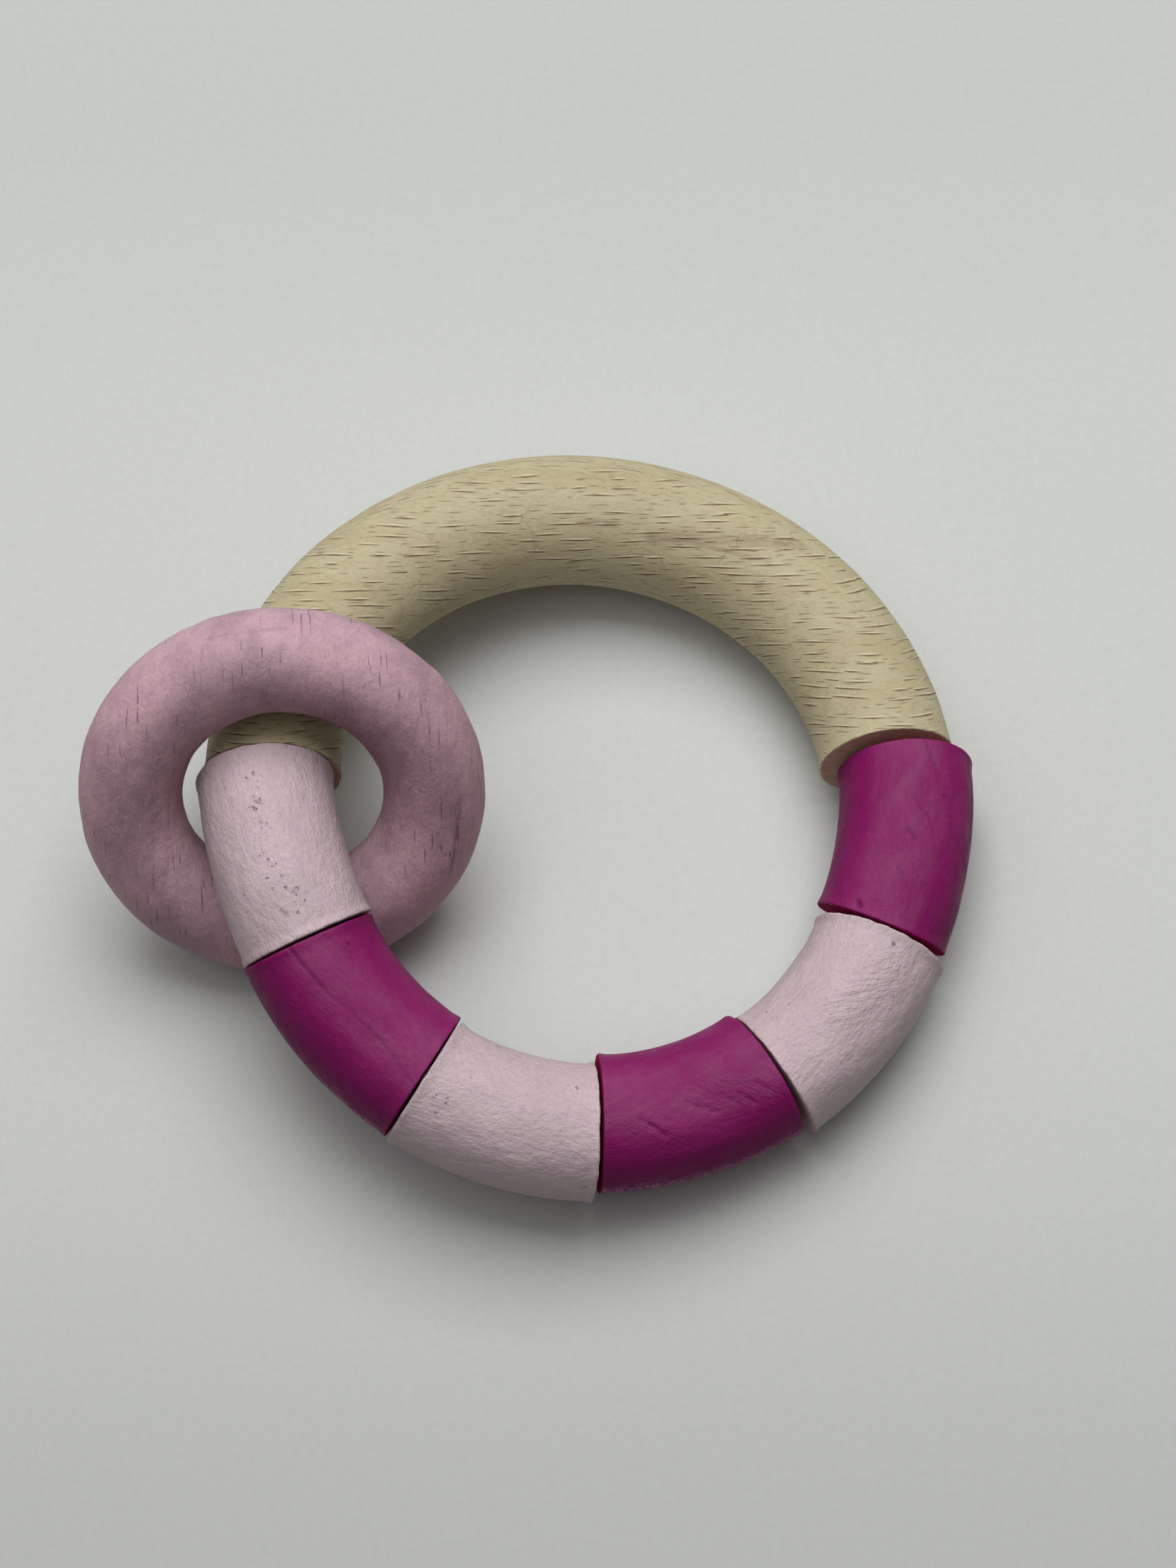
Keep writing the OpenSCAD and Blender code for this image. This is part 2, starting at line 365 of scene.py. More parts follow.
def wear(piece, size, depth, stretch, pattern, group=""):
    """Presses soft hollows into a piece, their size and depth in millimetres. They only go
    inwards, so that the piece keeps inside its solid. Its rims get chips here and there, with
    burrs between them that stand out by up to 0.1 mm."""
    sparse = group == "rim"
    texture = bpy.data.textures.new("hollows", "CLOUDS")
    texture.noise_scale = size * MM
    texture.contrast = 3 if sparse else 1
    texture.intensity = 1.3 if sparse else 1
    guide = bpy.data.objects.new("guide", None)
    bpy.context.scene.collection.objects.link(guide)
    guide.scale = stretch
    guide.location = [step * pattern for step in PATTERN_STEP]
    bpy.context.view_layer.update()
    press = piece.modifiers.new("wear", "DISPLACE")
    press.texture = texture
    press.texture_coords = "OBJECT"
    press.texture_coords_object = guide
    press.mid_level = 1
    press.strength = depth * MM
    press.vertex_group = group
    apply_modifier(piece, press)
    bpy.data.objects.remove(guide)


def ease(share):
    """Goes smoothly from 0 to 1."""
    share = np.clip(share, 0, 1)
    return share * share * (3 - 2 * share)


def mark_ends(piece, ring_centre, radius, thickness, first, last):
    """Makes two groups of a bent rod's points: its round side, which the hollows are pressed
    into, and the rims of its sawn ends, which get small chips and are kept for the material too.
    first and last are the angles of the two ends round the ring's centre."""
    flat = read(piece, "co") - np.array(ring_centre)
    out = np.hypot(flat[:, 0], flat[:, 1])
    inwards = thickness / 2 - np.hypot(out - radius, flat[:, 2])
    angle = np.arctan2(flat[:, 1], flat[:, 0])
    off = np.abs((angle - (first + last) / 2 + np.pi) % (2 * np.pi) - np.pi)
    away = out * np.sin(np.clip((last - first) / 2 - off, -0.5, 1.5))
    rim = ease(1 - np.hypot(away, inwards) / CHIPPED)
    side = ease((away - 0.15 * MM) / (1.2 * MM)) * (inwards < 1 * MM)
    keep(piece, "rim", rim)
    for name, weight in (("rim", rim), ("side", side)):
        group = piece.vertex_groups.new(name=name)
        for level in range(1, WEIGHT_STEPS + 1):
            near = np.nonzero(np.round(weight * WEIGHT_STEPS) == level)[0]
            group.add(near.tolist(), level / WEIGHT_STEPS, "REPLACE")


def press_marks(piece):
    """Presses a piece's own marks into it, and keeps where they are for its material."""
    points = read(piece, "co") / MM
    normals = read(piece, "normal")
    shown = {}
    for name, start, end, width, depth, plain in MARKS.get(piece.name, ()):
        start, run = np.array(start), np.array(end) - np.array(start)
        share = np.clip((points - start) @ run / (run @ run), 0, 1)
        near = ease(1 - np.linalg.norm(points - start - share[:, None] * run, axis=1) / width)
        shown[name] = np.maximum(shown.get(name, 0), near * plain)
        points -= normals * (near * depth)[:, None]
    for name, values in shown.items():
        keep(piece, name, values)
    put_points(piece, points * MM)


def keep_wood(piece, axes, shift=0):
    """Keeps each point's place in the wood, in millimetres along the wood's own axes with the
    fibre first, and whether the surface there faces across the rays."""
    turned = np.array(axes).T
    wood = read(piece, "co") @ turned / MM + shift
    facing = np.abs(read(piece, "normal") @ turned)
    flank = ease((facing[:, 1] - 0.8) * 8 + 0.5)
    layer = piece.data.attributes.new("wood", "FLOAT_VECTOR", "POINT")
    layer.data.foreach_set("vector", wood.astype(np.float32).ravel())
    keep(piece, "flank", flank)


def keep_above(piece):
    """Keeps how far each point faces up as the piece lies, which the materials use for painted
    shade on the sides that face away, and the narrower crown of that, where the magenta paint gets
    a painted sheen."""
    normals = read(piece, "normal")
    keep(piece, "above", ease(normals @ np.array(LIT_SIDE) * 1.6 - 0.3))
    keep(piece, "crown", ease(normals @ np.array(SHEEN_SIDE) * 4.5 - 3.4))


def smooth(piece):
    alone(piece)
    bpy.ops.object.shade_smooth_by_angle(angle=HARD_EDGE)


class Wiring:
    """Short ways to add nodes to a material or a node group."""

    def __init__(self, tree):
        self.tree = tree

    def put(self, socket, value):
        if isinstance(value, bpy.types.NodeSocket):
            self.tree.links.new(value, socket)
        elif socket.type == "RGBA" and len(value) == 3:
            socket.default_value = (*value, 1)
        else:
            socket.default_value = value

    def add(self, kind, inputs, **settings):
        node = self.tree.nodes.new(kind)
        for name, value in settings.items():
            setattr(node, name, value)
        for name, value in inputs.items():
            self.put(node.inputs[name], value)
        return node

    def math(self, operation, *values, clamp=False):
        inputs = dict(enumerate(values))
        return self.add("ShaderNodeMath", inputs, operation=operation, use_clamp=clamp).outputs[0]

    def times(self, first, second):
        return self.math("MULTIPLY", first, second)

    def plus(self, first, second, clamp=False):
        return self.math("ADD", first, second, clamp=clamp)

    def minus(self, first, second, clamp=False):
        return self.math("SUBTRACT", first, second, clamp=clamp)

    def times_plus(self, first, second, third, clamp=False):
        """The first value times the second, plus the third."""
        return self.math("MULTIPLY_ADD", first, second, third, clamp=clamp)

    def sum_of(self, *shares):
        """The sum of some values, each times its share."""
        total = 0.0
        for value, share in shares:
            total = self.times_plus(value, share, total)
        return total

    def vector(self, operation, *values):
        node = self.add("ShaderNodeVectorMath", dict(enumerate(values)), operation=operation)
        return node.outputs["Value" if operation == "DOT_PRODUCT" else "Vector"]

    def split(self, vector):
        return self.add("ShaderNodeSeparateXYZ", {0: vector}).outputs

    def join(self, x, y, z):
        return self.add("ShaderNodeCombineXYZ", {0: x, 1: y, 2: z}).outputs[0]

    def step(self, value, low, high, to_low=0, to_high=1):
        """Goes smoothly from to_low to to_high as value goes from low to high."""
        inputs = {"Value": value, "From Min": low, "From Max": high, "To Min": to_low,
                  "To Max": to_high}
        node = self.add("ShaderNodeMapRange", inputs, interpolation_type="SMOOTHSTEP")
        return node.outputs[0]

    def noise(self, where, stretch, detail=2.0, roughness=0.5):
        """Soft noise; stretch is how many of its blobs lie in a millimetre each way."""
        scaled = self.vector("MULTIPLY", where, stretch)
        inputs = {"Vector": scaled, "Scale": 1.0, "Detail": detail, "Roughness": roughness}
        return self.add("ShaderNodeTexNoise", inputs).outputs[0]

    def blend(self, amount, first, second, mode="MIX"):
        inputs = {0: amount, 6: first, 7: second}
        node = self.add("ShaderNodeMix", inputs, data_type="RGBA", blend_type=mode)
        return node.outputs[2]

    def attribute(self, name, output="Fac"):
        """What a piece keeps under this name at each of its points."""
        return self.add("ShaderNodeAttribute", {}, attribute_name=name).outputs[output]

    def bump(self, height, depth, below=None):
        """Relief of the given depth in millimetres."""
        inputs = {"Strength": 1.0, "Distance": depth * MM, "Height": height}
        if below is not None:
            inputs["Normal"] = below
        return self.add("ShaderNodeBump", inputs).outputs[0]


def rays_group():
    """Scatters the rays that show as dark dashes along the fibre, each with a ridge beside it,
    which the beech paints paler as a painted highlight. Each lies in its own cell of the wood, and
    its place, length and lean come from the cell's number."""
    if "wood_rays" in bpy.data.node_groups:
        return bpy.data.node_groups["wood_rays"]
    tree = bpy.data.node_groups.new("wood_rays", "ShaderNodeTree")
    for name, way, kind in (
        ("Place", "INPUT", "Vector"), ("Cell", "INPUT", "Vector"), ("Length", "INPUT", "Float"),
        ("Width", "INPUT", "Float"), ("Share", "INPUT", "Float"), ("Ray", "OUTPUT", "Float"),
        ("Edge", "OUTPUT", "Float"),
    ):
        tree.interface.new_socket(name=name, in_out=way, socket_type=f"NodeSocket{kind}")
    w = Wiring(tree)
    given = tree.nodes.new("NodeGroupInput").outputs
    in_cells = w.vector("DIVIDE", given["Place"], given["Cell"])
    x, y, z = w.split(in_cells)
    row = w.join(w.math("FLOOR", y), w.math("FLOOR", z), 3.0)
    row_shift = w.add("ShaderNodeTexWhiteNoise", {"Vector": row}, noise_dimensions="3D").outputs[0]
    shifted = w.join(w.times_plus(row_shift, 7.0, x), y, z)
    cell = w.vector("FLOOR", shifted)
    chance = w.add("ShaderNodeTexWhiteNoise", {"Vector": cell}, noise_dimensions="3D").outputs
    one, two, three = w.split(chance[1])
    in_cell = w.vector("SUBTRACT", w.vector("FRACTION", shifted), (0.5, 0.5, 0.5))
    jitter = w.join(w.times(w.minus(one, 0.5), 0.3), w.times(w.minus(two, 0.5), 0.5), 0.0)
    off = w.split(w.vector("MULTIPLY", w.vector("SUBTRACT", in_cell, jitter), given["Cell"]))
    half = w.times(given["Length"], w.times_plus(three, 0.35, 0.15))
    taper = w.minus(1.0, w.math("DIVIDE", w.math("ABSOLUTE", off[0]), half), clamp=True)
    taper = w.math("POWER", taper, 0.45)
    leaning = w.times(off[0], w.times_plus(two, 0.06, -0.03))
    side = w.plus(off[1], leaning)
    there = w.math("LESS_THAN", chance[0], given["Share"])
    thick = w.times(w.times(taper, given["Width"]), 0.5)
    over = w.math("DIVIDE", w.math("ABSOLUTE", side), w.plus(thick, 0.01))
    ray = w.times(w.times(w.step(over, 1.3, 0.5), taper), there)
    beside = w.plus(side, w.times(given["Width"], -1.1))
    over = w.math("DIVIDE", w.math("ABSOLUTE", beside), w.plus(thick, 0.01))
    edge = w.times(w.times(w.step(over, 1.6, 0.3), taper), there)
    result = tree.nodes.new("NodeGroupOutput")
    w.put(result.inputs["Ray"], ray)
    w.put(result.inputs["Edge"], edge)
    return tree


class Finish(Wiring):
    """A material that is being made."""

    def __init__(self, name):
        self.material = bpy.data.materials.new(name)
        self.material.use_nodes = True
        super().__init__(self.material.node_tree)

    def where(self):
        """The place on the surface in millimetres."""
        place = self.add("ShaderNodeTexCoord", {}).outputs["Object"]
        return self.vector("MULTIPLY", place, (1000, 1000, 1000))

    def rays(self, where, cell, long, width, share):
        """The rays and their light edges, thin whichever way the surface faces."""
        x, y, z = self.split(where)
        flank = self.attribute("flank")
        inputs = {"Place": where, "Cell": cell, "Length": long, "Width": width, "Share": share}
        top = self.add("ShaderNodeGroup", inputs, node_tree=rays_group()).outputs
        inputs["Place"] = self.join(x, z, y)
        side = self.add("ShaderNodeGroup", inputs, node_tree=rays_group()).outputs
        return [
            self.times_plus(flank, self.minus(side[name], top[name]), top[name])
            for name in ("Ray", "Edge")
        ]

    def done(self, colour, roughness, specular, surface=None):
        """Gives the shader what has been worked out for it, and returns the material."""
        inputs = self.tree.nodes["Principled BSDF"].inputs
        self.put(inputs["Base Color"], colour)
        self.put(inputs["Roughness"], roughness)
        self.put(inputs["Specular IOR Level"], specular)
        if surface is not None:
            self.put(inputs["Normal"], surface)
        return self.material


def beech_finish(colours):
    """Bare sanded beech: fine fibre, dark rays with a raised ridge beside each, whose lit side is
    painted paler as a painted highlight, and faint growth lines.
    """
    f = Finish("beech")
    wood = f.attribute("wood", "Vector")
    x, y, z = f.split(wood)
    sway = f.noise(wood, (0.05, 0.1, 0.1), 1.0)
    swayed = f.times(f.minus(sway, 0.5), 1.6)
    wavy = f.join(x, f.plus(y, swayed), f.plus(z, swayed))
    long_ray, ray_ridge_highlight = f.rays(wavy, (6.8, 1.15, 9.0), 6.4, 0.17, 0.75)
    between = f.vector("ADD", wavy, (2.6, 0.5, 1.7))
    short_ray = f.rays(between, (3.6, 0.62, 7.0), 2.8, 0.12, 0.6)[0]
    fibre = f.noise(wavy, (0.13, 2.4, 2.4), 4.0, 0.65)
    threads = f.noise(wavy, (0.3, 6.0, 6.0), 2.0, 0.5)
    mottle = f.noise(wood, (1.1, 2.2, 2.2), 3.0, 0.6)
    broad = f.noise(wood, (0.03, 0.16, 0.16), 2.0)
    growth = f.math("FRACT", f.plus(f.times(z, 0.34), f.times(sway, 3.2)))
    late = f.times(f.step(f.math("ABSOLUTE", f.minus(growth, 0.5)), 0.12, 0.0), 0.45)
    jagged = f.noise(wood, (0.9, 0.9, 0.9), 3.0, 0.7)
    ringed = f.math("FRACT", f.times_plus(jagged, 0.35, growth))
    ringed = f.step(f.math("ABSOLUTE", f.minus(ringed, 0.5)), 0.03, 0.008)
    ringed = f.times(ringed, f.step(f.noise(wood, (0.12, 0.12, 0.12), 1.0), 0.42, 0.6))
    warm = f.plus(f.step(broad, 0.42, 0.72), f.times(late, 0.8), clamp=True)
    base = f.blend(f.times(warm, 0.5), colours.beech, colours.beech_warm)
    base = f.blend(f.step(fibre, 0.38, 0.75, 0.0, 0.5), base, colours.beech_warm)
    base = f.blend(f.step(threads, 0.5, 0.75, 0.0, 0.3), base, colours.beech_warm)
    base = f.blend(f.step(mottle, 0.46, 0.72, 0.0, 0.2), base, colours.beech_ray)
    # Painted highlight: the raised ridge beside each long ray is painted paler, as its lit side
    base = f.blend(f.times(ray_ridge_highlight, 0.7), base, shade(220, 212, 182))
    rays = f.math("MAXIMUM", long_ray, f.times(short_ray, 0.6))
    smudge = f.attribute("smudge")
    rays = f.times_plus(f.times(smudge, f.step(fibre, 0.4, 0.6)), 0.7, rays, clamp=True)
    base = f.blend(f.times(smudge, 0.6), base, shade(154, 134, 118))
    base = f.blend(f.times(ringed, 0.22), base, colours.beech_ray)
    base = f.blend(rays, base, colours.beech_ray)
    base = f.blend(f.times(f.attribute("pit"), 0.7), base, shade(96, 80, 60))
    height = f.sum_of((fibre, 0.8), (rays, -1.3), (ringed, -0.4), (ray_ridge_highlight, 0.45), (mottle, 0.5))
    return f.done(base, 0.62, 0.3, f.bump(height, 0.065))


def end_grain_finish(colours):
    """Sawn across and drilled beech: pores that show as dots, darker and matt."""
    f = Finish("end_grain")
    wood = f.attribute("wood", "Vector")
    pores = f.add("ShaderNodeTexVoronoi", {"Vector": wood, "Scale": 3.2}).outputs[0]
    mottle = f.noise(wood, (0.5, 1.2, 1.2), 3.0)
    mottled = f.step(mottle, 0.35, 0.7, 0.0, 0.4)
    base = f.blend(mottled, colours.end_grain, shade(176, 140, 120))
    base = f.blend(f.step(pores, 0.22, 0.08, 0.0, 0.4), base, shade(112, 82, 66))
    return f.done(base, 0.75, 0.2, f.bump(f.plus(f.step(pores, 0.0, 0.3), mottle), 0.05))


def paint_finish(name, paint, bare, end_paint_and_bounce, chipped, sides, sheen_share, specular, smooth_at, rough_at,
                 relief):
    """Paint on turned wood: the fibre and small dents show through, it lies in low flakes, its
    gloss differs from place to place, it has sunk into the sawn ends, and it is thin or chipped
    where it has been rubbed. bare is the colour of rubbed wood, and end_paint_and_bounce that of
    the sawn ends, where the paint has sunk in; on the magenta pieces it is also brighter and
    redder, as painted bounce light in the gaps. sides is how dark the paint is on the sides that
    don't face up, as painted shade, and sheen_share how plain the painted sheen on the crown is.
    chipped is how plain the chipped rims are."""
    f = Finish(name)
    wood = f.attribute("wood", "Vector")
    kept = ("rim", "worn", "sawn", "pit", "pitted", "rippled")
    rim, worn, sawn, pit, pitted, rippled = (f.attribute(name) for name in kept)
    fibre = f.noise(wood, (0.3, 2.2, 2.2), 4.0, 0.6)
    flakes = f.noise(wood, (1.1, 1.6, 1.6), 4.0, 0.64)
    fine = f.noise(wood, (2.6, 3.6, 3.6), 3.0, 0.7)
    broad = f.noise(wood, (0.09, 0.14, 0.14), 2.0)
    sheen = f.noise(wood, (0.3, 0.42, 0.42), 2.0)
    waves = f.noise(f.vector("ADD", wood, f.join(0.0, f.times(f.split(wood)[0], 0.9), 0.0)),
                    (0.3, 1.5, 1.5), 3.0, 0.6)
    astray = f.times(fine, 0.9)
    grains = f.add("ShaderNodeTexVoronoi", {
        "Vector": f.vector("ADD", wood, f.join(astray, 0.0, astray)), "Scale": 1.35,
    }).outputs
    chance, size, plain = f.split(grains["Color"])
    dents = f.math("LESS_THAN", chance, f.times_plus(pitted, 0.85, 0.006))
    reach = f.times_plus(size, 0.34, 0.16)
    dents = f.times(dents, f.step(f.math("DIVIDE", grains["Distance"], reach), 1.0, 0.4))
    dents = f.times(dents, f.times_plus(plain, 0.7, 0.3))
    deep = tuple(v * 0.72 for v in paint)
    light = tuple(min(1, v * 1.12 + 0.008) for v in paint)
    base = f.blend(f.step(broad, 0.3, 0.7), light, paint)
    # Painted shade: the paint is darker on the sides that don't face up
    base = f.blend(f.attribute("above"), tuple(v * sides for v in paint), base)
    base = f.blend(f.step(fibre, 0.45, 0.8, 0.0, 0.25), base, deep)
    base = f.blend(f.step(flakes, 0.56, 0.36, 0.0, 0.24), base, deep)
    base = f.blend(f.step(fine, 0.5, 0.74, 0.0, 0.3), base, deep)
    base = f.blend(f.times(dents, 0.42), base, tuple(v * 0.4 for v in paint))
    # The sawn ends show the paint sunk into them; the magenta's colour here is also brighter, as
    # painted bounce light in the gaps
    base = f.blend(f.times(sawn, 0.85), base, end_paint_and_bounce)
    speck = f.noise(wood, (1.5, 1.8, 1.8), 3.0, 0.7)
    chips = f.times(f.step(speck, 0.56, 0.66), rim)
    base = f.blend(f.step(chips, 0.3, 0.8, 0.0, chipped), base, bare)
    patches = f.noise(wood, (0.22, 0.42, 0.42), 3.0, 0.6)
    # Painted sheen: a paler, greyer band on the crown, where the paint faces the light
    painted_sheen = f.times(f.step(patches, 0.3, 0.7, 0.4, 1.0), f.attribute("crown"))
    base = f.blend(f.times(painted_sheen, sheen_share), base, shade(190, 168, 180))
    rubbed = f.times_plus(worn, 0.3, f.plus(speck, fine))
    rubbed = f.times(f.step(rubbed, 1.28, 1.38), f.step(worn, 0.0, 0.2))
    base = f.blend(f.times(rubbed, 0.4), base, bare)
    base = f.blend(f.times(pit, 0.75), base, tuple(v * 0.35 for v in paint))
    rough = f.step(f.plus(sheen, fine), 0.75, 1.2, smooth_at, rough_at)
    rough = f.math("MAXIMUM", rough, f.times(sawn, 0.95))
    height = f.sum_of((fibre, 0.35), (fine, 0.4), (flakes, 1.2), (dents, -1.2))
    ripples = f.bump(f.times(waves, rippled), 0.34, f.bump(height, relief))
    return f.done(base, rough, specular, ripples)


def stain_finish(colours):
    """Thin pink stain on the small ring: blotchy, greyer where it lies thick, with painted shade on
    the sides that don't face up, and with the wood's rays and fine cracks showing dark."""
    f = Finish("ring_stain")
    wood = f.attribute("wood", "Vector")
    broad = f.noise(wood, (0.07, 0.11, 0.11), 3.0, 0.55)
    cloud = f.noise(wood, (0.3, 0.45, 0.45), 4.0, 0.6)
    fibre = f.noise(wood, (0.12, 2.0, 2.0), 4.0, 0.6)
    fine = f.noise(wood, (1.6, 2.6, 2.6), 3.0, 0.6)
    patchy = f.step(f.noise(wood, (0.09, 0.13, 0.13), 2.0), 0.42, 0.62, 0.1, 1.0)
    ray = f.times(f.rays(wood, (5.2, 1.2, 5.0), 4.4, 0.17, 0.6)[0], patchy)
    base = f.blend(f.step(broad, 0.35, 0.68), colours.ring, colours.ring_dark)
    # Painted shade: the stain is darker on the sides that don't face up
    below = f.minus(1.0, f.attribute("above"))
    base = f.blend(below, base, (0.8, 0.73, 0.75), "MULTIPLY")
    base = f.blend(f.step(cloud, 0.45, 0.75, 0.0, 0.5), base, colours.ring_dark)
    base = f.blend(f.step(fibre, 0.5, 0.8, 0.0, 0.25), base, shade(150, 118, 132))
    base = f.blend(f.step(fine, 0.5, 0.76, 0.0, 0.26), base, shade(226, 196, 205))
    base = f.blend(f.step(fine, 0.5, 0.28, 0.0, 0.3), base, shade(158, 124, 140))
    base = f.blend(f.times(ray, 0.6), base, shade(116, 80, 98))
    base = f.blend(f.times(f.attribute("pit"), 0.75), base, shade(88, 60, 72))
    rough = f.step(f.plus(cloud, fine), 0.7, 1.3, 0.48, 0.66)
    creases = f.noise(f.vector("ADD", wood, f.join(0.0, f.times(cloud, 3.0), 0.0)),
                      (0.3, 0.7, 0.5), 4.0, 0.66)
    height = f.sum_of((creases, 2.4), (fibre, 0.3), (ray, -0.9), (fine, 0.35))
    return f.done(base, rough, 0.3, f.bump(height, 0.11))


def elastic_finish(colours):
    """The elastic's woven cover: two sets of threads that cross each other."""
    f = Finish("elastic")
    where = f.where()
    x, y, z = f.split(where)
    along = f.times_plus(y, 0.6, x)
    one = f.math("SINE", f.times(f.plus(along, z), 9.0))
    two = f.math("SINE", f.times(f.minus(along, z), 9.0))
    weave = f.times_plus(f.times(one, two), 0.5, 0.5)
    fluff = f.noise(where, (3.0, 3.0, 3.0), 3.0)
    base = f.blend(f.step(weave, 0.0, 0.5, 0.5, 0.0), colours.elastic, shade(150, 142, 132))
    base = f.blend(f.step(fluff, 0.4, 0.8, 0.0, 0.3), base, shade(180, 172, 160))
    return f.done(base, 0.8, 0.3, f.bump(f.plus(weave, fluff), 0.12))


def table_finish(settings):
    """A plain pale table top with a very slight texture. It has painted shade towards the near side
    and a little past the far side, where the light weakens, and it is painted paler far off, as
    painted light where less of the window's light reaches."""
    f = Finish("table")
    where = f.where()
    speck = f.noise(where, (1.1, 1.1, 1.1), 2.0)
    low = tuple(v * 0.965 for v in settings.floor)
    base = f.blend(f.step(speck, 0.35, 0.75), settings.floor, low)
    x, y = f.split(where)[:2]
    far = f.math("SQRT", f.times_plus(x, x, f.times(y, y)))
    # Painted shade: darker towards the near side and a little past the far side, where the light
    # weakens
    painted_dimming = f.times(f.step(y, -110, -10, 0.82, 1.0), f.step(y, 60, 115, 1.0, 0.93))
    base = f.blend(1.0, base, painted_dimming, "MULTIPLY")
    # Painted light: paler far off, where less of the window's light reaches
    base = f.blend(f.step(far, 150, 1000), base, shade(248, 249, 247))
    return f.done(base, 0.85, 0.1)


class TEETHER_OT_beech_grip(bpy.types.Operator):
    """Turns, bends and drills the beech grip, and presses its wear into it"""

    bl_idname = "teether.beech_grip"
    bl_label = "Beech Grip"

    def execute(self, context):
        ring = context.scene.teether_ring
        arc = ring.grip_to - ring.grip_from
        grip = turned_rod("beech_grip", ring.radius * arc, ring.thickness / 2, ring.socket / 2,
                          ring.edge, GRIP_FACE * ring.cell)
        bend(grip, arc)
        ends = self.drill(grip, ring, arc)
        flat = Matrix.Rotation((ring.grip_from + ring.grip_to) / 2 + math.pi / 2, 4, "Z")
        set_down(grip, flat @ Matrix.Translation((0, -ring.radius, 0)))
        mark_ends(grip, (0, 0, 0), ring.radius, ring.thickness, ring.grip_from, ring.grip_to)
        wear(grip, 7, 0.2, (2.5, 1, 1), 1, "side")
        wear(grip, 1.5, 0.07, (5, 1, 1), 2, "side")
        wear(grip, 1.8, 0.14, (1, 1, 1), 3, "rim")
        lean(grip, ring)
        keep_wood(grip, BEECH_AXES)
        press_marks(grip)
        smooth(grip)
        colours = context.scene.teether_finishes
        grip.data.materials.append(beech_finish(colours))
        grip.data.materials.append(end_grain_finish(colours))
        for polygon in grip.data.polygons:
            polygon.material_index = 1 if polygon.index in ends else 0
        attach(grip, "grip")
        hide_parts("beech_half_ring")
        return {"FINISHED"}

    def drill(self, grip, ring, arc):
        """Draws each open mouth straight into the wood and closes it, and returns the faces of
        the sawn ends and the holes."""
        ends = [
            (Vector((side * ring.radius * math.sin(arc / 2),
                     ring.radius * (1 - math.cos(arc / 2)), 0)),
             Vector((side * math.cos(arc / 2), math.sin(arc / 2), 0)))
            for side in (-1, 1)
        ]
        mouth = ring.socket / 2 + TOUCHING
        alone(grip)
        for middle, outwards in ends:
            bpy.ops.object.mode_set(mode="EDIT")
            bpy.ops.mesh.select_mode(type="VERT")
            bpy.ops.mesh.select_all(action="DESELECT")
            bpy.ops.object.mode_set(mode="OBJECT")
            for vertex in grip.data.vertices:
                off = vertex.co - middle
                vertex.select = abs(off.dot(outwards)) < TOUCHING and off.length < mouth
            bpy.ops.object.mode_set(mode="EDIT")
            step = -outwards * ring.socket_depth / HOLE_STEPS
            for _ in range(HOLE_STEPS):
                bpy.ops.mesh.extrude_region_move(TRANSFORM_OT_translate={"value": step})
            bpy.ops.mesh.edge_face_add()
            bpy.ops.mesh.select_all(action="SELECT")
            bpy.ops.mesh.normals_make_consistent(inside=False)
            bpy.ops.object.mode_set(mode="OBJECT")
        found = set()
        for middle, outwards in ends:
            for polygon in grip.data.polygons:
                off = polygon.center - middle
                depth = off.dot(outwards)
                across = (off - depth * outwards).length
                drilled = across < mouth and -ring.socket_depth - TOUCHING < depth < TOUCHING
                if drilled or abs(depth) < TOUCHING:
                    found.add(polygon.index)
        return found


